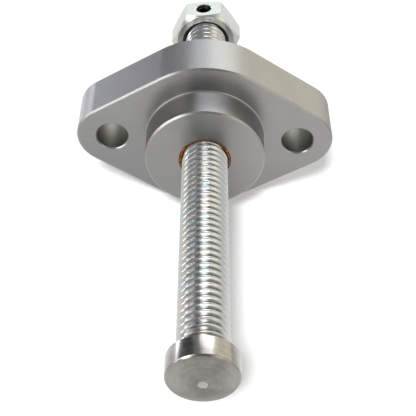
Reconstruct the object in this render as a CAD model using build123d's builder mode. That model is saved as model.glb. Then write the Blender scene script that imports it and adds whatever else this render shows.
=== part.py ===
from build123d import *
import os
from math import radians, sqrt, tan

os.makedirs("parts", exist_ok=True)

# All sizes are in millimetres. The origin is on the stud's axis, in the flange's mounting face.
# The nose points along -Y, the flange is longest along X, and +Z is up.

# Adjuster thread, 3/8 inch with 16 threads per inch, drawn at its crests
thread_diameter = 9.525
thread_clearance = 0.05

# Housing flange and its two bolt holes
flange_thickness = 11.0
flange_middle_radius = 18.05
flange_end_radius = 7.5
flange_edge_chamfer = 0.35
bolt_spacing = 39.5
bolt_hole_diameter = 6.6
bolt_hole_edge_break = 0.25

# Spigot boss on the mounting face
boss_diameter = 25.0
boss_height = 7.0
boss_edge_chamfer = 0.35
boss_base_fillet = 0.3
bore_lead_in = 0.8

# Rubber ring in the boss's mouth
body_seal_width = 0.62
body_seal_depth = 1.5
body_seal_lip_chamfer = 0.15
seal_clearance = 0.03

# Adjuster stud: how far its shoulder and its tail stand from the mounting face
stud_shoulder = 58.9
stud_tail = 46.0
stud_tail_chamfer = 0.9
stud_shoulder_chamfer = 0.3
stud_socket_across_flats = 4.76
stud_socket_depth = 5.0
stud_neck_diameter = 6.0
stud_neck_length = 2.6
spigot_diameter = 1.3
rivet_head_diameter = 1.8
rivet_head_depth = 0.3

# Nose button that swivels on the stud's neck
button_diameter = 13.0
button_side_length = 4.15
button_edge_chamfer = 0.2
button_crown_height = 1.15
button_back_chamfer = 0.15
swivel_clearance = 0.04
shoulder_gap = 0.1

# Lock nut, 9/16 inch across flats, with one flat turned a little off the top
nut_across_flats = 14.2875
nut_thickness = 6.4
nut_face = 37.0
nut_washer_diameter = 13.6
nut_chamfer_angle = 30.0
nut_turn = 6.0
nut_recess_depth = 1.3
nut_lead_in = 0.5

# Square-cut rubber ring in the lock nut's recess
nut_seal_width = 0.66
nut_seal_setback = 0.25
nut_seal_end_gap = 0.05
nut_seal_corner_chamfer = 0.14

# Socket set screw in the cross hole that runs in from the lock nut's top flat
set_screw_diameter = 3.4
set_screw_clearance = 0.05
set_screw_length = 1.75
set_screw_point_gap = 0.08
set_screw_chamfer = 0.25
set_screw_socket_across_flats = 1.98
set_screw_socket_depth = 1.1
cross_hole_edge_break = 0.12

# Radii that fits share
thread_radius = thread_diameter / 2
bore_radius = thread_radius + thread_clearance
boss_radius = boss_diameter / 2
bolt_hole_radius = bolt_hole_diameter / 2
body_seal_outer_radius = bore_radius + body_seal_width
body_seal_recess_radius = body_seal_outer_radius + seal_clearance
nut_recess_radius = bore_radius + nut_seal_width + seal_clearance
neck_radius = stud_neck_diameter / 2
spigot_radius = spigot_diameter / 2
rivet_head_radius = rivet_head_diameter / 2

# Places along the axis, as Y
boss_face_y = -boss_height
button_back_y = -(stud_shoulder + shoulder_gap)
button_rim_y = button_back_y - button_side_length
button_crown_y = button_rim_y - button_edge_chamfer - button_crown_height
neck_end_y = -stud_shoulder - stud_neck_length
nut_rear_y = nut_face + nut_thickness

# Housing: the flange's outline is the hull of three circles, and the boss stands on its front
with BuildPart() as tensioner_body:
    with BuildSketch(Plane.XZ.offset(-flange_thickness)):
        Circle(flange_middle_radius)
        with GridLocations(bolt_spacing, 1, 2, 1):
            Circle(flange_end_radius)
        make_hull()
    extrude(amount=flange_thickness)
    front_edges = tensioner_body.edges().group_by(Axis.Y)[0]
    rear_edges = tensioner_body.edges().group_by(Axis.Y)[-1]
    chamfer(front_edges + rear_edges, length=flange_edge_chamfer)

    with BuildSketch(Plane.XZ):
        Circle(boss_radius)
    extrude(amount=boss_height)
    boss_edges = tensioner_body.edges().filter_by(GeomType.CIRCLE)
    boss_edges = boss_edges.filter_by(lambda edge: abs(edge.radius - boss_radius) < 0.001)
    chamfer(boss_edges.group_by(Axis.Y)[0], length=boss_edge_chamfer)
    boss_edges = tensioner_body.edges().filter_by(GeomType.CIRCLE)
    boss_edges = boss_edges.filter_by(lambda edge: abs(edge.radius - boss_radius) < 0.001)
    fillet(boss_edges.group_by(Axis.Y)[-1], radius=boss_base_fillet)

    # Bore for the stud, with the seal's recess in the boss's mouth and a lead-in at the rear
    with Locations(Plane.XZ.offset(boss_height)):
        CounterBoreHole(bore_radius, body_seal_recess_radius, body_seal_depth)
    bore_edges = tensioner_body.edges().filter_by(GeomType.CIRCLE)
    bore_edges = bore_edges.filter_by(lambda edge: abs(edge.radius - bore_radius) < 0.001)
    chamfer(bore_edges.group_by(Axis.Y)[-1], length=bore_lead_in)

    # Bolt holes with both mouths broken
    with Locations(Plane.XZ):
        with GridLocations(bolt_spacing, 1, 2, 1):
            Hole(bolt_hole_radius)
    hole_edges = tensioner_body.edges().filter_by(GeomType.CIRCLE)
    hole_edges = hole_edges.filter_by(lambda edge: abs(edge.radius - bolt_hole_radius) < 0.001)
    chamfer(hole_edges, length=bolt_hole_edge_break)

tensioner_body.part.label = "tensioner_body"
export_step(tensioner_body.part, "parts/tensioner_body.step")

# Rubber ring that fills the recess in the boss's mouth, its front corners broken
with BuildPart() as body_seal_ring:
    with BuildSketch(Plane.XY):
        with Locations((bore_radius, boss_face_y)):
            Rectangle(body_seal_width, body_seal_depth, align=(Align.MIN, Align.MIN))
    revolve(axis=Axis.Y)
    chamfer(body_seal_ring.edges().group_by(Axis.Y)[0], length=body_seal_lip_chamfer)

body_seal_ring.part.label = "body_seal_ring"
export_step(body_seal_ring.part, "parts/body_seal_ring.step")

# Adjuster stud: threaded length, neck for the button, and a spigot riveted over in the button's face
with BuildPart() as adjuster_stud:
    with BuildSketch(Plane.XY):
        with BuildLine():
            Polyline(
                (0, stud_tail),
                (thread_radius - stud_tail_chamfer, stud_tail),
                (thread_radius, stud_tail - stud_tail_chamfer),
                (thread_radius, -stud_shoulder + stud_shoulder_chamfer),
                (thread_radius - stud_shoulder_chamfer, -stud_shoulder),
                (neck_radius, -stud_shoulder),
                (neck_radius, neck_end_y),
                (spigot_radius, neck_end_y),
                (spigot_radius, button_crown_y + rivet_head_depth),
                (rivet_head_radius, button_crown_y),
                (0, button_crown_y),
                close=True,
            )
        make_face()
    revolve(axis=Axis.Y)
    with BuildSketch(Plane.XZ.offset(-stud_tail)):
        RegularPolygon(stud_socket_across_flats / 2, 6, major_radius=False)
    extrude(amount=stud_socket_depth, mode=Mode.SUBTRACT)

adjuster_stud.part.label = "adjuster_stud"
export_step(adjuster_stud.part, "parts/adjuster_stud.step")

# Nose button: turned side, crowned face, and the bore and countersink that take the stud's end
button_radius = button_diameter / 2
button_face_radius = button_radius - button_edge_chamfer
with BuildPart() as nose_button:
    with BuildSketch(Plane.XY):
        with BuildLine():
            Polyline(
                (0, button_crown_y),
                (0, button_back_y),
                (button_radius - button_back_chamfer, button_back_y),
                (button_radius, button_back_y - button_back_chamfer),
                (button_radius, button_rim_y),
                (button_face_radius, button_rim_y - button_edge_chamfer),
            )
            TangentArc(
                (0, button_crown_y),
                (button_face_radius, button_rim_y - button_edge_chamfer),
                tangent=(1, 0),
            )
        make_face()
    revolve(axis=Axis.Y)
    with BuildSketch(Plane.XY):
        with BuildLine():
            Polyline(
                (0, button_back_y),
                (neck_radius + swivel_clearance, button_back_y),
                (neck_radius + swivel_clearance, neck_end_y - swivel_clearance),
                (spigot_radius + swivel_clearance, neck_end_y - swivel_clearance),
                (spigot_radius + swivel_clearance, button_crown_y + rivet_head_depth),
                (rivet_head_radius + swivel_clearance, button_crown_y),
                (0, button_crown_y),
                close=True,
            )
        make_face()
    revolve(axis=Axis.Y, mode=Mode.SUBTRACT)

nose_button.part.label = "nose_button"
export_step(nose_button.part, "parts/nose_button.step")

# Lock nut: a hexagon trimmed by a double cone, bored, recessed and cross drilled
nut_flat = nut_across_flats / 2
nut_washer_radius = nut_washer_diameter / 2
nut_cone_radius = nut_across_flats / sqrt(3) + 1
nut_cone_depth = (nut_cone_radius - nut_washer_radius) * tan(radians(nut_chamfer_angle))
nut_middle = Plane(origin=(0, nut_face + nut_thickness / 2, 0), x_dir=(0, 1, 0), z_dir=(0, 0, 1))
cross_plane = nut_middle.rotated((0, -nut_turn, 0))
with BuildPart() as lock_nut:
    with BuildSketch(Plane.XZ.offset(-nut_face)):
        RegularPolygon(nut_flat, 6, major_radius=False, rotation=nut_turn)
    extrude(amount=-nut_thickness)
    with BuildSketch(Plane.XY):
        with BuildLine():
            Polyline(
                (0, nut_face),
                (nut_washer_radius, nut_face),
                (nut_cone_radius, nut_face + nut_cone_depth),
                (nut_cone_radius, nut_rear_y - nut_cone_depth),
                (nut_washer_radius, nut_rear_y),
                (0, nut_rear_y),
                close=True,
            )
        make_face()
    revolve(axis=Axis.Y, mode=Mode.INTERSECT)
    with Locations(Plane.XZ.offset(-nut_face)):
        CounterBoreHole(bore_radius, nut_recess_radius, nut_recess_depth)
    nut_edges = lock_nut.edges().filter_by(GeomType.CIRCLE)
    nut_edges = nut_edges.filter_by(lambda edge: abs(edge.radius - bore_radius) < 0.001)
    chamfer(nut_edges.group_by(Axis.Y)[-1], length=nut_lead_in)

    with BuildSketch(cross_plane):
        Circle(set_screw_diameter / 2 + set_screw_clearance)
    extrude(amount=nut_across_flats, mode=Mode.SUBTRACT)
    with BuildSketch(cross_plane.offset(nut_flat - cross_hole_edge_break)):
        Circle(set_screw_diameter / 2 + set_screw_clearance)
    with BuildSketch(cross_plane.offset(nut_flat)):
        Circle(set_screw_diameter / 2 + set_screw_clearance + cross_hole_edge_break)
    loft(mode=Mode.SUBTRACT)

lock_nut.part.label = "lock_nut"
export_step(lock_nut.part, "parts/lock_nut.step")

# Rubber ring of square section in the lock nut's recess, all four corners broken
nut_seal_length = nut_recess_depth - nut_seal_setback - nut_seal_end_gap
with BuildPart() as nut_seal_ring:
    with BuildSketch(Plane.XY) as nut_seal_section:
        with Locations((bore_radius, nut_face + nut_seal_setback)):
            Rectangle(nut_seal_width, nut_seal_length, align=(Align.MIN, Align.MIN))
        chamfer(nut_seal_section.vertices(), length=nut_seal_corner_chamfer)
    revolve(axis=Axis.Y)

nut_seal_ring.part.label = "nut_seal_ring"
export_step(nut_seal_ring.part, "parts/nut_seal_ring.step")

# Socket set screw, standing on the stud's thread
set_screw_point = thread_radius + set_screw_point_gap
with BuildPart() as nut_set_screw:
    with BuildSketch(cross_plane.offset(set_screw_point)):
        Circle(set_screw_diameter / 2)
    extrude(amount=set_screw_length)
    chamfer(nut_set_screw.edges().filter_by(GeomType.CIRCLE), length=set_screw_chamfer)
    with BuildSketch(cross_plane.offset(set_screw_point + set_screw_length)):
        RegularPolygon(set_screw_socket_across_flats / 2, 6, major_radius=False)
    extrude(amount=-set_screw_socket_depth, mode=Mode.SUBTRACT)

nut_set_screw.part.label = "nut_set_screw"
export_step(nut_set_screw.part, "parts/nut_set_screw.step")
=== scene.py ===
import math
import bpy
import bmesh
from mathutils import Matrix, Vector


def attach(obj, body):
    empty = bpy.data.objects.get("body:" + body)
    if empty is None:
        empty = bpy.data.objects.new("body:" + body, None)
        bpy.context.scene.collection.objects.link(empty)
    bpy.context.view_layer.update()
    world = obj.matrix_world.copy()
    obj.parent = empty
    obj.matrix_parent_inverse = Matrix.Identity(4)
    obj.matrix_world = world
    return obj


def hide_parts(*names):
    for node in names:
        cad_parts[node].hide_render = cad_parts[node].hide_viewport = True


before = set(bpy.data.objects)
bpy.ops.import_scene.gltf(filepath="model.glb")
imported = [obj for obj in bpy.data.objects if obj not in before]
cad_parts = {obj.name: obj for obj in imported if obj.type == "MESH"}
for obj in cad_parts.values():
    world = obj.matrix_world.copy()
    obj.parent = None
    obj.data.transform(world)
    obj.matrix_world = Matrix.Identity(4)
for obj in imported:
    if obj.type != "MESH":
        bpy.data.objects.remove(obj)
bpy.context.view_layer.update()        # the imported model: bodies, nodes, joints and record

mm = 0.001
print("frame loaded:", ", ".join(sorted(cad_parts)))


# shader sums

class Wire:
    # a shader output that takes part in plain sums, each of which adds a Math node
    def __init__(self, shop, socket):
        self.shop = shop
        self.socket = socket

    def sum(self, operation, first, second):
        return self.shop.node("ShaderNodeMath", {"operation": operation}, {0: first, 1: second})

    def __add__(self, other):
        return self.sum("ADD", self, other)

    def __radd__(self, other):
        return self.sum("ADD", other, self)

    def __sub__(self, other):
        return self.sum("SUBTRACT", self, other)

    def __rsub__(self, other):
        return self.sum("SUBTRACT", other, self)

    def __mul__(self, other):
        return self.sum("MULTIPLY", self, other)

    def __rmul__(self, other):
        return self.sum("MULTIPLY", other, self)

    def __truediv__(self, other):
        return self.sum("DIVIDE", self, other)

    def __rtruediv__(self, other):
        return self.sum("DIVIDE", other, self)

    def __abs__(self):
        return self.shop.node("ShaderNodeMath", {"operation": "ABSOLUTE"}, {0: self})


class Shop:
    # one node tree, and the one way in which its nodes are made
    def __init__(self, tree):
        self.tree = tree
        tree.nodes.clear()

    def node(self, kind, settings=None, inputs=None, output=0):
        made = self.tree.nodes.new(kind)
        for name, value in (settings or {}).items():
            setattr(made, name, value)
        for name, value in (inputs or {}).items():
            if isinstance(value, Wire):
                self.tree.links.new(value.socket, made.inputs[name])
            elif isinstance(value, tuple) and made.inputs[name].type == "RGBA":
                made.inputs[name].default_value = (*value[:3], 1.0)
            else:
                made.inputs[name].default_value = value
        return Wire(self, made.outputs[output]) if made.outputs else None

    def parts(self, vector):
        split = self.node("ShaderNodeSeparateXYZ", None, {0: vector})
        outputs = split.socket.node.outputs
        return [Wire(self, outputs[i]) for i in range(3)]

    def place(self):
        return self.node("ShaderNodeTexCoord", None, None, "Object")

    def facing(self):
        return self.node("ShaderNodeTexCoord", None, None, "Normal")

    def stretch(self, vector, sizes):
        return self.node("ShaderNodeVectorMath", {"operation": "MULTIPLY"}, {0: vector, 1: sizes})

    def join(self, x, y, z):
        return self.node("ShaderNodeCombineXYZ", None, {0: x, 1: y, 2: z})

    def length(self, vector):
        return self.node("ShaderNodeVectorMath", {"operation": "LENGTH"}, {0: vector}, "Value")

    def dot(self, vector, direction):
        settings = {"operation": "DOT_PRODUCT"}
        return self.node("ShaderNodeVectorMath", settings, {0: vector, 1: direction}, "Value")

    def noise(self, vector, scale, detail=3.0, roughness=0.55):
        inputs = {"Vector": vector, "Scale": scale, "Detail": detail, "Roughness": roughness}
        return self.node("ShaderNodeTexNoise", None, inputs)

    def step(self, value, low, high):
        inputs = {"Value": value, "From Min": low, "From Max": high}
        return self.node("ShaderNodeMapRange", {"interpolation_type": "SMOOTHSTEP"}, inputs)

    def blend(self, mask, first, second, kind="MIX"):
        settings = {"data_type": "RGBA", "blend_type": kind}
        return self.node("ShaderNodeMix", settings, {0: mask, 6: first, 7: second}, 2)

    def bump(self, height, strength, distance):
        inputs = {"Height": height, "Strength": strength, "Distance": distance}
        return self.node("ShaderNodeBump", None, inputs)

    def close(self, inputs):
        shader = self.node("ShaderNodeBsdfPrincipled", None, inputs)
        self.output(shader)

    def output(self, shader):
        self.node("ShaderNodeOutputMaterial", None, {"Surface": shader})


def newFinish(name):
    material = bpy.data.materials.new(name)
    material.use_nodes = True
    return material, Shop(material.node_tree)


# camera, at the photograph's angle

shot = {
    "lens": 85.58,
    "sensor": 36.0,
    "nearest": 0.005,
    "farthest": 20.0,
    "place": (-2.888 * mm, -163.90 * mm, 133.62 * mm),
    "right": (0.99952, 0.00344, 0.03062),
    "up": (-0.02472, 0.68456, 0.72854),
}
camera = bpy.data.objects.new("camera", bpy.data.cameras.new("camera"))
bpy.context.scene.collection.objects.link(camera)
camera.data.lens = shot["lens"]
camera.data.sensor_width = shot["sensor"]
camera.data.clip_start = shot["nearest"]
camera.data.clip_end = shot["farthest"]
right = Vector(shot["right"]).normalized()
back = right.cross(Vector(shot["up"])).normalized()
up = back.cross(right)
turn = Matrix((right, up, back)).transposed()
camera.matrix_world = Matrix.Translation(Vector(shot["place"])) @ turn.to_4x4()
bpy.context.scene.camera = camera
bpy.context.scene.view_settings.view_transform = "Standard"
print("camera set")


# studio: pale floor, soft lamp, and a world with soft panels

studio = {
    "floorHeight": -18.06 * mm,
    "floorSize": 4.0,
    "floorSeen": (0.74, 0.74, 0.742),
    "floorGlow": 0.27,
    "floorGrain": (40.0, 0.02, (0.85, 0.85, 0.86)),     # scale, amount, colour
    "floorMirrored": (0.64, 0.635, 0.63),               # the floor as the metal mirrors it
    "floorMirroredRight": (0.47, 0.43, 0.345),
    "floorMirroredLeft": (0.93, 0.94, 1.0),
    "floorMirroredFront": 0.42,
    "floorMirroredSides": -0.22,
    # soft edges of the floor's patches, in metres: from no patch to full patch
    "frontEdge": (0.15, -0.10),
    "sideEdge": (0.032, 0.062),
    "rightPatch": ((0.024, 0.050), (0.005, 0.035), (0.080, 0.055)),
    "leftPatch": ((-0.036, -0.050), (0.015, 0.035), (0.085, 0.060)),
    "lampPower": 2.55,
    "lampSpread": 10.5,
    "lampFrom": (-0.140, -0.610, 0.775),
    "worldBase": (0.29, 0.295, 0.31),
    "panels": [
        # direction of the panel's middle, half width, half height, softness, light
        ((0.19, 0.60, 0.78), 0.24, 0.50, 0.10, (1.08, 1.08, 1.02)),
        ((-0.68, 0.73, 0.055), 0.30, 0.055, 0.02, (2.9, 2.95, 3.4)),
        ((0.68, 0.62, 0.26), 0.42, 0.60, 0.20, (0.86, 0.79, 0.60)),
        ((0.62, -0.60, 0.50), 0.30, 0.20, 0.12, (1.10, 1.02, 0.82)),
        ((0.86, -0.48, 0.15), 0.22, 0.18, 0.10, (0.85, 0.80, 0.64)),
        ((0.45, -0.88, 0.16), 0.28, 0.20, 0.15, (0.60, 0.57, 0.50)),
    ],
    "panelFront": (0.05, 0.15),     # a panel fades out where a ray is across its direction or away from it
    # a dark panel: direction, half width, half height, softness, depth, colour
    "shade": ((-0.44, 0.73, 0.48), 0.36, 0.36, 0.16, 0.76, (0.03, 0.03, 0.035)),
    "softBoxDistance": 0.50,
    "passingThrough": ("bossPatch", "bossPatchWide"),   # soft boxes that the piece they light doesn't block
    "softBoxes": [
        # name, direction, width, height, light, the pieces that it lights
        ("bodyFill", (-0.30, 0.73, 0.61), 0.26, 0.34, (0.37, 0.376, 0.38), ("tensioner_body",)),
        ("bossPatch", (0.045, 0.728, 0.686), 0.24, 0.34, (0.36, 0.37, 0.41), ("tensioner_body",)),
        ("bossPatchWide", (0.10, 0.728, 0.686), 0.36, 0.34, (0.30, 0.305, 0.31), ("tensioner_body",)),
        ("edgeLight", (-0.62, -0.60, 0.48), 0.26, 0.24, (5.0, 4.9, 4.5), ("noseButton", "lock_nut")),
        ("edgeLightHigh", (-0.59, -0.61, 0.525), 0.15, 0.13, (5.8, 5.7, 5.3), ("tensioner_body",)),
        ("edgeLightMiddle", (-0.80, -0.535, 0.28), 0.10, 0.18, (4.4, 4.3, 3.9), ("tensioner_body",)),
        ("edgeLightLow", (-0.86, -0.47, 0.15), 0.20, 0.16, (1.9, 1.85, 1.7), ("tensioner_body",)),
        ("steelSideLight", (-0.86, -0.47, 0.15), 0.20, 0.16, (2.3, 2.25, 2.1), ("noseButton",)),
        ("threadSideLight", (-0.95, -0.28, 0.11), 0.22, 0.14, (6.0, 5.9, 5.7), ("adjusterThread",)),
        ("threadLeftLight", (-0.80, -0.14, 0.57), 0.07, 0.26, (4.2, 4.15, 4.0), ("adjusterThread",)),
        ("threadRightLight", (0.45, -0.88, 0.15), 0.36, 0.22, (0.24, 0.235, 0.21), ("adjusterThread",)),
        ("threadFrontLight", (0.10, -0.965, 0.19), 0.16, 0.20, (3.2, 3.2, 3.15), ("adjusterThread",)),
        ("buttonStripe", (-0.682, 0.728, 0.032), 0.20, 0.095, (3.6, 3.6, 3.9), ("noseButton",)),
        ("buttonDimLight", (-0.27, 0.728, 0.63), 0.20, 0.30, (0.20, 0.205, 0.20), ("noseButton",)),
        ("buttonLight", (0.137, 0.728, 0.62), 0.30, 0.30, (2.1, 2.1, 2.08), ("noseButton",)),
        ("threadLight", (0.09, 0.30, 0.945), 0.20, 0.64, (2.7, 2.7, 2.66), ("adjusterThread",)),
        ("nutLight", (-0.06, 0.72, 0.69), 0.34, 0.30, (1.05, 1.10, 1.04), ("lock_nut",)),
    ],
}


def panelMask(shop, direction, middle, halfWidth, halfHeight, soft):
    # 1 where the direction meets a soft-edged panel of the world, and 0 elsewhere
    ahead = Vector(middle).normalized()
    side = ahead.cross(Vector((0.0, 0.0, 1.0))).normalized()
    rise = side.cross(ahead)
    depth = shop.dot(direction, ahead)
    faded, full = studio["panelFront"]
    safe = shop.node("ShaderNodeMath", {"operation": "MAXIMUM"}, {0: depth, 1: faded})
    across = abs(shop.dot(direction, side) / safe)
    along = abs(shop.dot(direction, rise) / safe)
    inside = shop.step(across, halfWidth + soft, halfWidth - soft)
    inside = inside * shop.step(along, halfHeight + soft, halfHeight - soft)
    return inside * shop.step(depth, faded, full)


def buildStudio():
    world = bpy.data.worlds.new("studio")
    bpy.context.scene.world = world
    world.use_nodes = True
    shop = Shop(world.node_tree)
    direction = shop.node("ShaderNodeTexCoord", None, None, "Generated")
    middle, halfWidth, halfHeight, soft, depth, dark = studio["shade"]
    shade = panelMask(shop, direction, middle, halfWidth, halfHeight, soft) * depth
    colour = shop.blend(shade, studio["worldBase"], dark)
    for middle, halfWidth, halfHeight, soft, light in studio["panels"]:
        mask = panelMask(shop, direction, middle, halfWidth, halfHeight, soft)
        colour = shop.blend(mask, colour, light, "ADD")
    seen = shop.node("ShaderNodeLightPath", None, None, "Is Camera Ray")
    colour = shop.blend(seen, colour, (1.0, 1.0, 1.0))
    light = shop.node("ShaderNodeBackground", None, {"Color": colour, "Strength": 1.0})
    shop.node("ShaderNodeOutputWorld", None, {"Surface": light})

    lamp = bpy.data.objects.new("softLamp", bpy.data.lights.new("softLamp", "SUN"))
    bpy.context.scene.collection.objects.link(lamp)
    lamp.data.energy = studio["lampPower"]
    lamp.data.angle = math.radians(studio["lampSpread"])
    lamp.rotation_mode = "QUATERNION"
    lamp.rotation_quaternion = (-Vector(studio["lampFrom"])).to_track_quat("-Z", "Y")
    lamp.visible_glossy = False

    # the floor looks white to the camera and keeps its shadow, and the metal mirrors it brighter in front
    material, shop = newFinish("paleFloor")
    path = shop.node("ShaderNodeLightPath").socket.node
    rays = ("Is Camera Ray", "Is Glossy Ray", "Is Transmission Ray")
    seen, glossy, through = [Wire(shop, path.outputs[name]) for name in rays]
    place = shop.place()
    across, along = shop.parts(place)[:2]
    inFront = shop.step(along, *studio["frontEdge"])
    beside = shop.step(abs(across), *studio["sideEdge"])
    colour = studio["floorMirrored"]
    for patch, mirrored in (("rightPatch", "floorMirroredRight"), ("leftPatch", "floorMirroredLeft")):
        side, near, far = studio[patch]
        mask = shop.step(across, *side) * shop.step(along, *near) * shop.step(along, *far)
        colour = shop.blend(mask, colour, studio[mirrored])
    colour = shop.blend(seen, colour, studio["floorSeen"])
    scale, amount, grain = studio["floorGrain"]
    colour = shop.blend(shop.noise(place, scale) * amount, colour, grain)
    paper = shop.node("ShaderNodeBsdfDiffuse", None, {"Color": colour, "Roughness": 1.0})
    extra = inFront * (beside * studio["floorMirroredSides"] + studio["floorMirroredFront"])
    strength = seen * studio["floorGlow"] + (glossy + through) * extra
    glow = shop.node("ShaderNodeEmission", None, {"Color": (1.0, 1.0, 1.0), "Strength": strength})
    shop.output(shop.node("ShaderNodeAddShader", None, {0: paper, 1: glow}))

    half = studio["floorSize"] / 2
    mesh = bpy.data.meshes.new("floor")
    corners = [(-half, -half), (half, -half), (half, half), (-half, half)]
    mesh.from_pydata([(x, y, studio["floorHeight"]) for x, y in corners], [], [(0, 1, 2, 3)])
    floor = bpy.data.objects.new("floor", mesh)
    bpy.context.scene.collection.objects.link(floor)
    mesh.materials.append(material)


def softBox(name, direction, width, height, light, members):
    # a soft box that lights only its own pieces
    data = bpy.data.lights.new(name, "AREA")
    data.shape = "RECTANGLE"
    data.size = width
    data.size_y = height
    strongest = max(light)
    data.color = [value / strongest for value in light]
    data.energy = strongest * math.pi * width * height
    box = bpy.data.objects.new(name, data)
    bpy.context.scene.collection.objects.link(box)
    towards = Vector(direction).normalized()
    box.location = towards * studio["softBoxDistance"]
    box.rotation_mode = "QUATERNION"
    box.rotation_quaternion = (-towards).to_track_quat("-Z", "Y")
    box.visible_camera = False
    lit = bpy.data.collections.new(name)
    for member in members:
        lit.objects.link(bpy.data.objects[member])
    box.light_linking.receiver_collection = lit
    if name in studio["passingThrough"]:
        passed = bpy.data.collections.new(name + "Passed")
        for member in members:
            passed.objects.link(bpy.data.objects[member])
        for entry in passed.collection_objects:
            entry.light_linking.link_state = "EXCLUDE"
        box.light_linking.blocker_collection = passed


buildStudio()
print("studio set")


# finishes

def machinedAluminium():
    look = {
        "colour": (0.435, 0.432, 0.430),
        "darker": (0.375, 0.373, 0.373),
        "milledScale": (60.0, 300.0, 5200.0),       # cutter lines across the flat faces
        "turnedScale": 5200.0,                      # rings on the boss's face
        "sideScale": (1500.0, 260.0, 1500.0),       # lines along the edges' sides
        "cloudScale": 140.0,
        "patchScale": (50.0, 50.0, 160.0),
        "toneShares": (0.55, 0.25, 0.20),           # lines, clouds, patches
        "toneEdges": (0.30, 0.72),
        "flatFaces": (0.80, 0.95),                  # how far a face looks along the axis
        "roughness": 0.25,
        "cutterLines": 0.10,
        "cloudy": 0.05,
        "bump": (0.22, 0.02 * mm),
        "bossFace": (-6.5 * mm, -6.8 * mm),
        # painted shade on the boss's side, with a painted highlight band along its top
        "bossSideShade": (0.245, 0.242, 0.236),
        "bossSideStart": (-0.4 * mm, -0.8 * mm),
        "bossSideEnd": (-6.6 * mm, -6.3 * mm),
        "bossHighlightBand": (1.3 * mm, 5.2 * mm, 1.6 * mm),     # middle, faded out, full
        "boltHoleFromAxis": 19.75 * mm,
        "boltHoleRadius": (3.55 * mm, 3.45 * mm),
        "edgeBreak": (0.21 * mm, 0.29 * mm),
        # painted shade in the bolt holes, and painted light towards their rear
        "boreShadeFront": (0.145, 0.144, 0.134),
        "boreLitRear": (0.44, 0.435, 0.385),
        "boreDepths": (-1.0 * mm, 8.25 * mm),
        "boreRougher": 0.24,
        # share of the painted shade on the boss's side and in the bolt holes
        "paintedShadeAmount": 0.9,
    }
    material, shop = newFinish("machinedAluminium")
    place = shop.place()
    x, y, z = shop.parts(place)
    flat = shop.step(abs(shop.parts(shop.facing())[1]), *look["flatFaces"])
    radius = shop.length(shop.join(x, 0.0, z))
    onBoss = shop.step(y, *look["bossFace"])
    milled = shop.noise(shop.stretch(place, look["milledScale"]), 1.0, 4.0, 0.65)
    turned = shop.noise(shop.join(radius * look["turnedScale"], 0.0, 0.0), 1.0, 4.0, 0.65)
    sides = shop.noise(shop.stretch(place, look["sideScale"]), 1.0, 4.0, 0.65)
    face = milled * (1 - onBoss) + turned * onBoss
    lines = sides * (1 - flat) + face * flat
    cloud = shop.noise(place, look["cloudScale"], 4.0)
    patches = shop.noise(shop.stretch(place, look["patchScale"]), 1.0, 2.0)
    ofLines, ofClouds, ofPatches = look["toneShares"]
    tone = shop.step(lines * ofLines + cloud * ofClouds + patches * ofPatches, *look["toneEdges"])
    colour = shop.blend(tone, look["darker"], look["colour"])

    # the boss's turned side: painted shade, except a band about x = 1.3 mm along its top that keeps the
    # lighter colour as a painted highlight
    onSide = shop.step(y, *look["bossSideStart"]) * shop.step(y, *look["bossSideEnd"]) * (1 - flat)
    middle, faded, full = look["bossHighlightBand"]
    highlightBand = shop.step(abs(x - middle), faded, full)
    colour = shop.blend(onSide * (1 - highlightBand) * look["paintedShadeAmount"], colour, look["bossSideShade"])

    # the two bolt holes: painted shade in the bores, lifting to painted light towards their rear
    fromHole = shop.length(shop.join(abs(x) - look["boltHoleFromAxis"], 0.0, z))
    inBore = shop.step(fromHole, *look["boltHoleRadius"]) * (1 - flat) * shop.step(y, *look["edgeBreak"])
    boreShade = shop.blend(shop.step(y, *look["boreDepths"]), look["boreShadeFront"], look["boreLitRear"])
    colour = shop.blend(inBore * look["paintedShadeAmount"], colour, boreShade)

    roughness = lines * look["cutterLines"] + cloud * look["cloudy"] + look["roughness"]
    roughness = roughness + inBore * look["boreRougher"]
    normal = shop.bump(lines, *look["bump"])
    shop.close({"Base Color": colour, "Metallic": 1.0, "Roughness": roughness, "Normal": normal})
    return material


zincLooks = {
    "stud": {
        "colour": (0.64, 0.65, 0.64),
        "warm": (0.68, 0.63, 0.58),
        "cool": (0.56, 0.64, 0.65),
        "roughness": 0.16,
        # painted shade in the thread's grooves
        "grooveShade": (0.10, 0.10, 0.10),
        "grooveShadeAmount": 0.30,
        "grooveFlanks": (4.42 * mm, 3.94 * mm),
        "grooveInnermost": (3.4 * mm, 3.6 * mm),
        "riveted": (0.47, 0.485, 0.48),
        "rivetedEnd": (-64.2 * mm, -64.4 * mm),
    },
    "nut": {
        "colour": (0.75, 0.79, 0.76),
        "warm": (0.82, 0.79, 0.71),
        "cool": (0.68, 0.77, 0.76),
        "roughness": 0.16,
    },
    "both": {
        "filmScale": 330.0,
        "filmEdges": (0.35, 0.65),
        "filmRough": 0.06,
        "driftScale": (90.0, 40.0, 90.0),
        "driftEdges": (0.30, 0.70),
        "driftAmount": 0.75,
        "violet": (0.72, 0.69, 0.755),
        "violetScale": (260.0, 420.0, 260.0),
        "violetEdges": (0.52, 0.70),
        "violetAmount": 0.55,
        "speck": (0.42, 0.42, 0.40),
        "speckScale": 2600.0,
        "speckEdges": (0.66, 0.74),
        "speckAmount": 0.35,
        "grainScale": 5200.0,
        "grainRough": 0.04,
        "dentScale": 1050.0,
        "relief": (0.25, 0.35, 0.90),       # grain, specks, dents
        "bump": (0.30, 0.030 * mm),
    },
}


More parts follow.
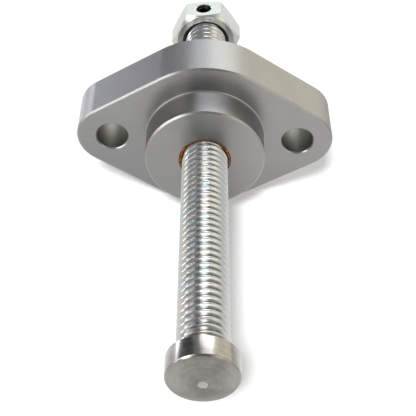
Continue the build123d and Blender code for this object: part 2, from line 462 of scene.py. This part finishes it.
def zincPlate(name, look):
    # bright zinc with its thin, faintly coloured film, and painted shade in a thread's grooves
    both = zincLooks["both"]
    material, shop = newFinish(name)
    place = shop.place()
    film = shop.noise(place, both["filmScale"], 3.0, 0.6)
    drift = shop.noise(shop.stretch(place, both["driftScale"]), 1.0, 2.0)
    tint = shop.blend(shop.step(film, *both["filmEdges"]), look["warm"], look["cool"])
    tint = shop.blend(shop.step(drift, *both["driftEdges"]) * both["driftAmount"], tint, look["colour"])
    violet = shop.noise(shop.stretch(place, both["violetScale"]), 1.3, 2.0)
    tint = shop.blend(shop.step(violet, *both["violetEdges"]) * both["violetAmount"], tint, both["violet"])
    specks = shop.noise(place, both["speckScale"], 2.0)
    tint = shop.blend(shop.step(specks, *both["speckEdges"]) * both["speckAmount"], tint, both["speck"])
    if "grooveShade" in look:
        x, y, z = shop.parts(place)
        radius = shop.length(shop.join(x, 0.0, z))
        # painted shade: the thread darkened towards its roots
        grooveShade = shop.step(radius, *look["grooveFlanks"]) * shop.step(radius, *look["grooveInnermost"])
        tint = shop.blend(grooveShade * look["grooveShadeAmount"], tint, look["grooveShade"])
        tint = shop.blend(shop.step(y, *look["rivetedEnd"]), tint, look["riveted"])
    grain = shop.noise(place, both["grainScale"], 2.0)
    roughness = film * both["filmRough"] + grain * both["grainRough"] + look["roughness"]
    dents = shop.noise(place, both["dentScale"], 2.0)
    ofGrain, ofSpecks, ofDents = both["relief"]
    normal = shop.bump(grain * ofGrain + specks * ofSpecks + dents * ofDents, *both["bump"])
    shop.close({"Base Color": tint, "Metallic": 1.0, "Roughness": roughness, "Normal": normal})
    return material


def turnedSteel():
    look = {
        "colour": (0.49, 0.477, 0.460),
        "darker": (0.30, 0.288, 0.272),
        "flatFaces": (0.55, 0.85),          # how far a face looks along the axis
        "circleScale": 4200.0,
        "hoopScale": 3600.0,
        "cloudScale": 420.0,
        "blotchScale": 260.0,
        "blotchStretch": (1.0, 1.0, 0.6),
        "toneShares": (0.60, 0.40),         # lines, clouds
        "toneEdges": (0.32, 0.70),
        "rim": (0.22, 0.16, 0.11),
        "rimStart": (5.6 * mm, 6.4 * mm),
        "rimTinted": 0.35,
        # painted shade: the crowned face is given a darker colour than the turned side
        "faceShadeAmount": 0.85,
        "faceDark": (0.172, 0.160, 0.146),
        "facePale": (0.345, 0.330, 0.310),
        "mottleShares": (0.45, 0.40, 0.15),     # circles, blotches, clouds
        "mottleEdges": (0.36, 0.64),
        # painted highlight at the face's left and right sides
        "wornAndSheen": (0.46, 0.44, 0.42),
        "sheenSides": (2.6 * mm, 6.0 * mm),
        "sheenWander": 1.6 * mm,
        "sheenAmount": 0.60,
        # painted shade low on the face
        "lowShade": (0.12, 0.100, 0.082),
        "lowShadeHeights": (0.4 * mm, -4.4 * mm),
        "lowShadeWander": 2.0 * mm,
        "lowShadeAmount": 0.55,
        "lineRough": 0.08,
        "cloudRough": 0.04,
        "roughness": 0.135,
        "bump": (0.25, 0.02 * mm),
    }
    material, shop = newFinish("turnedSteel")
    place = shop.place()
    x, y, z = shop.parts(place)
    flat = shop.step(abs(shop.parts(shop.facing())[1]), *look["flatFaces"])
    radius = shop.length(shop.join(x, 0.0, z))
    circles = shop.noise(shop.join(radius * look["circleScale"], 0.0, 0.0), 1.0, 3.0, 0.7)
    hoops = shop.noise(shop.join(y * look["hoopScale"], 0.0, 0.0), 1.0, 3.0, 0.7)
    lines = circles * flat + hoops * (1 - flat)
    cloud = shop.noise(place, look["cloudScale"], 4.0)
    ofLines, ofClouds = look["toneShares"]
    tone = shop.step(lines * ofLines + cloud * ofClouds, *look["toneEdges"])
    colour = shop.blend(tone, look["darker"], look["colour"])
    rim = shop.step(radius, *look["rimStart"]) * flat
    colour = shop.blend(rim * look["rimTinted"], colour, look["rim"])

    # the crowned face: mottled, with a painted highlight at its sides and painted shade low down
    blotch = shop.noise(shop.stretch(place, look["blotchStretch"]), look["blotchScale"], 3.0, 0.6)
    ofCircles, ofBlotches, ofClouds = look["mottleShares"]
    mottle = circles * ofCircles + blotch * ofBlotches + cloud * ofClouds
    mottle = shop.step(mottle, *look["mottleEdges"])
    face = shop.blend(mottle, look["faceDark"], look["facePale"])
    low = shop.step(z + blotch * look["lowShadeWander"], *look["lowShadeHeights"])
    # painted highlight: the face lighter towards its sides
    wornAndSheen = shop.step(abs(x) + blotch * look["sheenWander"], *look["sheenSides"]) * (1 - low)
    face = shop.blend(wornAndSheen * look["sheenAmount"], face, look["wornAndSheen"])
    # painted shade: the face darker towards its bottom
    face = shop.blend(low * look["lowShadeAmount"], face, look["lowShade"])
    # painted shade: the flat face takes the darker, mottled face colour
    colour = shop.blend(flat * look["faceShadeAmount"], colour, face)
    roughness = lines * look["lineRough"] + cloud * look["cloudRough"] + look["roughness"]
    normal = shop.bump(lines, *look["bump"])
    shop.close({"Base Color": colour, "Metallic": 1.0, "Roughness": roughness, "Normal": normal})
    return material


def amberRubber():
    look = {
        "dark": (0.066, 0.026, 0.006),
        "amber": (0.39, 0.115, 0.008),
        # painted shade on the ring's top
        "topShade": (0.030, 0.016, 0.009),
        "topShadeHeights": (2.2 * mm, 4.4 * mm),
        "topShadeAmount": 0.65,
        "cloudScale": 1300.0,
        "cloudEdges": (0.36, 0.62),
        "grainScale": 5200.0,
        "grainRough": 0.16,
        "roughness": 0.34,
        "relief": (0.50, 0.50),     # clouds, grain
        "bump": (0.35, 0.05 * mm),
        "ior": 1.42,
    }
    material, shop = newFinish("amberRubber")
    place = shop.place()
    cloud = shop.noise(place, look["cloudScale"], 4.0)
    grain = shop.noise(place, look["grainScale"], 3.0)
    colour = shop.blend(shop.step(cloud, *look["cloudEdges"]), look["dark"], look["amber"])
    # painted shade: the ring darker towards its top
    topShade = shop.step(shop.parts(place)[2], *look["topShadeHeights"])
    colour = shop.blend(topShade * look["topShadeAmount"], colour, look["topShade"])
    roughness = grain * look["grainRough"] + look["roughness"]
    ofClouds, ofGrain = look["relief"]
    normal = shop.bump(cloud * ofClouds + grain * ofGrain, *look["bump"])
    shop.close({"Base Color": colour, "Roughness": roughness, "Normal": normal, "IOR": look["ior"]})
    return material


def blackRubber():
    look = {
        "colour": (0.012, 0.013, 0.012),
        "dust": (0.040, 0.042, 0.038),
        "dustScale": 1500.0,
        "dustEdges": (0.45, 0.75),
        "grainScale": 6000.0,
        "grainRough": 0.15,
        "roughness": 0.45,
        "bump": (0.30, 0.03 * mm),
        "ior": 1.5,
    }
    material, shop = newFinish("blackRubber")
    place = shop.place()
    dust = shop.noise(place, look["dustScale"], 4.0)
    grain = shop.noise(place, look["grainScale"], 3.0)
    colour = shop.blend(shop.step(dust, *look["dustEdges"]), look["colour"], look["dust"])
    roughness = grain * look["grainRough"] + look["roughness"]
    normal = shop.bump(grain, *look["bump"])
    shop.close({"Base Color": colour, "Roughness": roughness, "Normal": normal, "IOR": look["ior"]})
    return material


def blackOxide():
    look = {
        "colour": (0.030, 0.029, 0.027),
        "wornAndSheen": (0.10, 0.096, 0.088),
        "wearScale": 1800.0,
        "wearEdges": (0.50, 0.80),
        "wearRough": 0.15,
        "grainScale": 7000.0,
        "roughness": 0.30,
        "bump": (0.20, 0.015 * mm),
    }
    material, shop = newFinish("blackOxideSteel")
    place = shop.place()
    wear = shop.noise(place, look["wearScale"], 4.0)
    grain = shop.noise(place, look["grainScale"], 2.0)
    colour = shop.blend(shop.step(wear, *look["wearEdges"]), look["colour"], look["wornAndSheen"])
    roughness = wear * look["wearRough"] + look["roughness"]
    normal = shop.bump(grain, *look["bump"])
    shop.close({"Base Color": colour, "Metallic": 1.0, "Roughness": roughness, "Normal": normal})
    return material


finishes = {
    "machined_aluminium": machinedAluminium(),
    "amber_rubber": amberRubber(),
    "zinc_plated_stud": zincPlate("zincStud", zincLooks["stud"]),
    "turned_steel": turnedSteel(),
    "zinc_plated_nut": zincPlate("zincNut", zincLooks["nut"]),
    "black_rubber": blackRubber(),
    "black_oxide_steel": blackOxide(),
}
print("finishes made:", len(finishes))


# shapes

def addPiece(name, mesh, slot, body, replaced, sharp):
    # a mesh that rides on a body and stands for the nodes that it replaces
    mesh.shade_smooth()
    mesh.set_sharp_from_angle(angle=math.radians(sharp))
    piece = bpy.data.objects.new(name, mesh)
    bpy.context.scene.collection.objects.link(piece)
    mesh.materials.append(finishes[slot])
    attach(piece, body)
    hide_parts(*replaced)


def rounded(points, steps=4):
    # a closed outline of (x, y, radius) with each corner turned into a small arc
    out = []
    for i, point in enumerate(points):
        here = Vector(point[:2])
        size = point[2]
        if size <= 0:
            out.append(here)
            continue
        before = (Vector(points[i - 1][:2]) - here).normalized()
        after = (Vector(points[(i + 1) % len(points)][:2]) - here).normalized()
        angle = before.angle(after)
        cut = size / math.tan(angle / 2)
        middle = here + (before + after).normalized() * (size / math.sin(angle / 2))
        start = (here + before * cut) - middle
        end = (here + after * cut) - middle
        sweep = start.angle_signed(end)
        for k in range(steps + 1):
            share = -sweep * k / steps
            out.append(middle + Vector((
                start.x * math.cos(share) - start.y * math.sin(share),
                start.x * math.sin(share) + start.y * math.cos(share),
            )))
    return out


def latheInto(shape, outline, steps, closed=False):
    # turns an outline of (radius, place along the axis) about the Y axis
    circles = []
    for point in outline:
        radius, along = point
        if radius == 0:
            circles.append([shape.verts.new((0.0, along, 0.0))])
            continue
        circle = []
        for k in range(steps):
            angle = 2 * math.pi * k / steps
            circle.append(shape.verts.new((radius * math.sin(angle), along, radius * math.cos(angle))))
        circles.append(circle)
    pairs = list(zip(circles, circles[1:])) + ([(circles[-1], circles[0])] if closed else [])
    for one, two in pairs:
        for k in range(steps):
            after = (k + 1) % steps
            corners = [one[k % len(one)], one[after % len(one)], two[after % len(two)], two[k % len(two)]]
            shape.faces.new(list(dict.fromkeys(corners)))       # a triangle at the axis
    return circles


def finishMesh(shape, name):
    bmesh.ops.recalc_face_normals(shape, faces=shape.faces)
    mesh = bpy.data.meshes.new(name)
    shape.to_mesh(mesh)
    shape.free()
    return mesh


# adjuster stud: a right-handed thread, a hexagon socket in its tail, and a spigot in the nose button

stud = {
    "crestRadius": 4.7625,
    "rootRadius": 3.82,
    "pitch": 1.5875,
    "valleyPlace": -10.03,
    # half of the thread's form: place from the valley's middle, and share of its depth
    "flank": [
        (0.0, 0.0), (0.10, 0.035), (0.185, 0.13), (0.30, 0.34),
        (0.44, 0.59), (0.575, 0.83), (0.645, 0.93), (0.70, 0.978),
    ],
    "shoulder": -58.9,
    "tail": 46.0,
    "tailChamfer": 0.95,
    "shoulderChamfer": 0.45,
    "angleSteps": 72,
    "socketFlats": 4.76,
    "socketDepth": 5.0,
    "socketTip": 0.8,
    "neckRadius": 3.0,
    "neckEnd": -61.45,
    "spigotShankRadius": 0.66,
    "spigotHeadStart": -64.15,
    "spigotHeadRadius": 0.9,
    "spigotHeadWidest": -64.46,
    "spigotFaceRadius": 0.82,
    "spigotFront": -64.5,
    "spigotDome": 0.02,
}


def threadOutline():
    # place along the axis from a valley's middle, and radius there, over one pitch
    depth = stud["crestRadius"] - stud["rootRadius"]
    first = [(place, stud["rootRadius"] + depth * share) for place, share in stud["flank"]]
    first.append((stud["pitch"] / 2, stud["crestRadius"]))
    second = [(stud["pitch"] - place, radius) for place, radius in reversed(first[1:-1])]
    return first + second


def threadRows(shape, outline, turns, firstTurn):
    # one row of points across the thread's form at each angle step, over all turns
    steps = stud["angleSteps"]
    rows = []
    for n in range(turns * steps + 1):
        angle = 2 * math.pi * n / steps
        start = stud["valleyPlace"] + stud["pitch"] * (firstTurn + n / steps)
        row = []
        for offset, radius in outline:
            along = start + offset
            fromTail = max(stud["tail"] - along, 0.0)
            fromShoulder = max(along - stud["shoulder"], 0.0)
            radius = min(radius, stud["crestRadius"] - stud["tailChamfer"] + fromTail)
            radius = min(radius, stud["crestRadius"] - stud["shoulderChamfer"] + fromShoulder)
            spot = (radius * mm * math.sin(angle), along * mm, radius * mm * math.cos(angle))
            row.append(shape.verts.new(spot))
        rows.append(row)
    return rows


def buildStud():
    shape = bmesh.new()
    outline = threadOutline()
    steps = stud["angleSteps"]
    pitch = stud["pitch"]
    # two spare turns at each end, which the planes below cut off
    firstTurn = math.floor((stud["shoulder"] - stud["valleyPlace"]) / pitch) - 2
    turns = math.ceil((stud["tail"] - stud["shoulder"]) / pitch) + 4
    rows = threadRows(shape, outline, turns, firstTurn)
    for n in range(turns * steps):
        here, there = rows[n], rows[n + 1]
        for k in range(len(outline)):
            if k + 1 < len(outline):
                corners = (here[k], there[k], there[k + 1], here[k + 1])
            elif n + steps + 1 < len(rows):
                corners = (here[k], there[k], rows[n + steps + 1][0], rows[n + steps][0])
            else:
                continue
            shape.faces.new(corners)
    for place, direction in ((stud["shoulder"], -1.0), (stud["tail"], 1.0)):
        everything = shape.verts[:] + shape.edges[:] + shape.faces[:]
        bmesh.ops.bisect_plane(
            shape, geom=everything, dist=1e-8, plane_co=(0.0, place * mm, 0.0),
            plane_no=(0.0, direction, 0.0), clear_outer=True,
        )
    bmesh.ops.remove_doubles(shape, verts=shape.verts, dist=2e-6)
    closeTail(shape)
    closeShoulder(shape)
    return finishMesh(shape, "adjusterStud")


def openRim(shape, place):
    # the open edges that lie in a plane across the axis
    shape.edges.ensure_lookup_table()
    boundary = [edge for edge in shape.edges if edge.is_boundary]
    return [edge for edge in boundary if all(abs(v.co.y - place * mm) < 1e-5 for v in edge.verts)]


def closeTail(shape):
    # the tail's flat end with its hexagon socket
    rim = openRim(shape, stud["tail"])
    reach = stud["socketFlats"] / math.sqrt(3)
    corners = []
    for k in range(6):
        angle = math.radians(60 * k)
        corners.append((reach * math.sin(angle), reach * math.cos(angle)))
    bottom = stud["tail"] - stud["socketDepth"]
    top = [shape.verts.new((x * mm, stud["tail"] * mm, z * mm)) for x, z in corners]
    low = [shape.verts.new((x * mm, bottom * mm, z * mm)) for x, z in corners]
    tip = shape.verts.new((0.0, (bottom - stud["socketTip"]) * mm, 0.0))
    for k in range(6):
        after = (k + 1) % 6
        shape.faces.new((top[k], top[after], low[after], low[k]))
        shape.faces.new((low[k], low[after], tip))
    inner = [shape.edges.get((top[k], top[(k + 1) % 6])) for k in range(6)]
    bmesh.ops.triangle_fill(shape, edges=rim + inner, use_beauty=True)


def closeShoulder(shape):
    # the shoulder, the neck in the button, and the spigot that is riveted over in the button's face
    rim = openRim(shape, stud["shoulder"])
    outline = [
        (stud["neckRadius"], stud["shoulder"]),
        (stud["neckRadius"], stud["neckEnd"]),
        (stud["spigotShankRadius"], stud["neckEnd"]),
        (stud["spigotShankRadius"], stud["spigotHeadStart"]),
        (stud["spigotHeadRadius"], stud["spigotHeadWidest"]),
        (stud["spigotFaceRadius"], stud["spigotFront"]),
        (0.0, stud["spigotFront"] - stud["spigotDome"]),
    ]
    circles = latheInto(shape, [(radius * mm, along * mm) for radius, along in outline], stud["angleSteps"])
    boundary = [edge for edge in shape.edges if edge.is_boundary]
    inner = [edge for edge in boundary if all(v in circles[0] for v in edge.verts)]
    bmesh.ops.triangle_fill(shape, edges=rim + inner, use_beauty=True)


addPiece("adjusterThread", buildStud(), "zinc_plated_stud", "stud", ("adjuster_stud",), 50.0)
print("stud made")


# nose button: crowned face, broken rim, turned side

button = {
    "radius": 6.5,
    "back": -59.0,
    "rim": -63.05,
    "rimChamfer": 0.30,
    "crown": -64.5,
    "spigotHole": 0.94,
    "shankHole": 0.69,
    "countersink": 0.3,
    "boreRadius": 3.04,
    "boreEnd": -61.54,
    "backBreak": 0.15,
    "crownSteps": 12,
    "angleSteps": 128,
}


def buildButton():
    crownPoints = []
    edgeRadius = button["radius"] - button["rimChamfer"]
    edgeFront = button["rim"] - button["rimChamfer"]
    drop = button["crown"] - edgeFront
    for k in range(button["crownSteps"]):
        share = k / button["crownSteps"]
        radius = button["spigotHole"] + (edgeRadius - button["spigotHole"]) * share
        crownPoints.append((radius, button["crown"] - drop * (radius / edgeRadius) ** 2, 0.0))
    # radius, place along the axis, and radius of the corner's rounding
    outline = [
        (button["shankHole"], button["boreEnd"], 0.0),
        (button["shankHole"], button["crown"] + button["countersink"], 0.0),
        *crownPoints,
        (edgeRadius, edgeFront, 0.06),
        (button["radius"], button["rim"], 0.10),
        (button["radius"], button["back"] - button["backBreak"], 0.08),
        (button["radius"] - button["backBreak"], button["back"], 0.06),
        (button["boreRadius"] + button["backBreak"], button["back"], 0.05),
        (button["boreRadius"], button["back"] - button["backBreak"], 0.05),
        (button["boreRadius"], button["boreEnd"], 0.0),
    ]
    shape = bmesh.new()
    points = [(point.x * mm, point.y * mm) for point in rounded(outline)]
    latheInto(shape, points, button["angleSteps"], True)
    return finishMesh(shape, "noseButton")


addPiece("noseButton", buildButton(), "turned_steel", "nose", ("nose_button",), 40.0)
print("button made")


# rubber rings: millimetres, from the stud's axis and along it

mouthRing = {
    "inner": 4.80,
    "outer": 5.45,
    "front": -7.08,
    "back": -5.5,
    "crown": 0.34,
}

nutRing = {
    "inner": 4.79,
    "outer": 5.48,
    "front": 37.22,
    "back": 38.2,
    "crown": 0.30,
}


def buildRing(name, ring, arcSteps=8, angleSteps=96):
    # a square-cut ring whose front is crowned
    half = (ring["outer"] - ring["inner"]) / 2
    outline = []
    for k in range(arcSteps + 1):
        angle = math.pi * k / arcSteps
        radius = ring["inner"] + half + half * math.cos(angle)
        outline.append((radius, ring["front"] + ring["crown"] - ring["crown"] * math.sin(angle)))
    outline.append((ring["inner"], ring["back"]))
    outline.append((ring["outer"], ring["back"]))
    shape = bmesh.new()
    latheInto(shape, [(radius * mm, along * mm) for radius, along in outline], angleSteps, True)
    return finishMesh(shape, name)


ringMesh = buildRing("mouthRing", mouthRing)
addPiece("mouthRing", ringMesh, "amber_rubber", "housing", ("body_seal_ring",), 60.0)
ringMesh = buildRing("nutRing", nutRing)
addPiece("nutRing", ringMesh, "black_rubber", "nut_seal", ("nut_seal_ring",), 60.0)
print("rings made")


# nodes that keep their own shape get their finish

keptNodes = {
    "tensioner_body": "machined_aluminium",
    "lock_nut": "zinc_plated_nut",
    "nut_set_screw": "black_oxide_steel",
}
for node, slot in keptNodes.items():
    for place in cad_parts[node].material_slots:
        place.material = finishes[slot]
for box in studio["softBoxes"]:
    softBox(*box)
print("nodes dressed")
